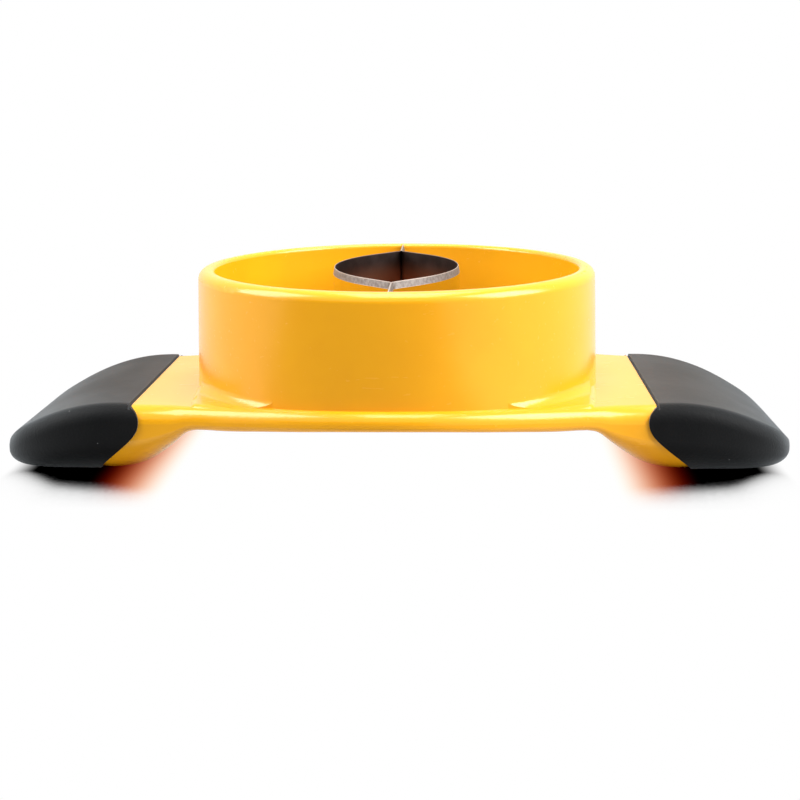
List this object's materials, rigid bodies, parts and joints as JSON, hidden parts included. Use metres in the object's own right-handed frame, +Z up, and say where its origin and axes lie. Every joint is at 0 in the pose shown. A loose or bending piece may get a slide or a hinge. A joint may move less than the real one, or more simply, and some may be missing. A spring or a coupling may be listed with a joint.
{
  "type": "fruit splitter",
  "caption": "Press-down fruit splitter: a round moulded ring with a pointed steel pit loop across it, and a soft black grip on each handle end.",
  "frame": {"origin": "centre of the ring's axis on the surface that the grips rest on", "axes": "+X along the handles, +Y across them, +Z up along the ring's axis towards the cutting rim"},
  "size_m": [0.2452, 0.133, 0.0587],
  "materials": {
    "frame_plastic": "glossy moulded",
    "grip_rubber": "fine matt grain",
    "blade_steel": "ground bevel"
  },
  "bodies": {
    "root": {"frame": "frame_plastic", "left_grip": "grip_rubber", "right_grip": "grip_rubber", "left_blade": "blade_steel", "right_blade": "blade_steel"}
  },
  "joints": []
}
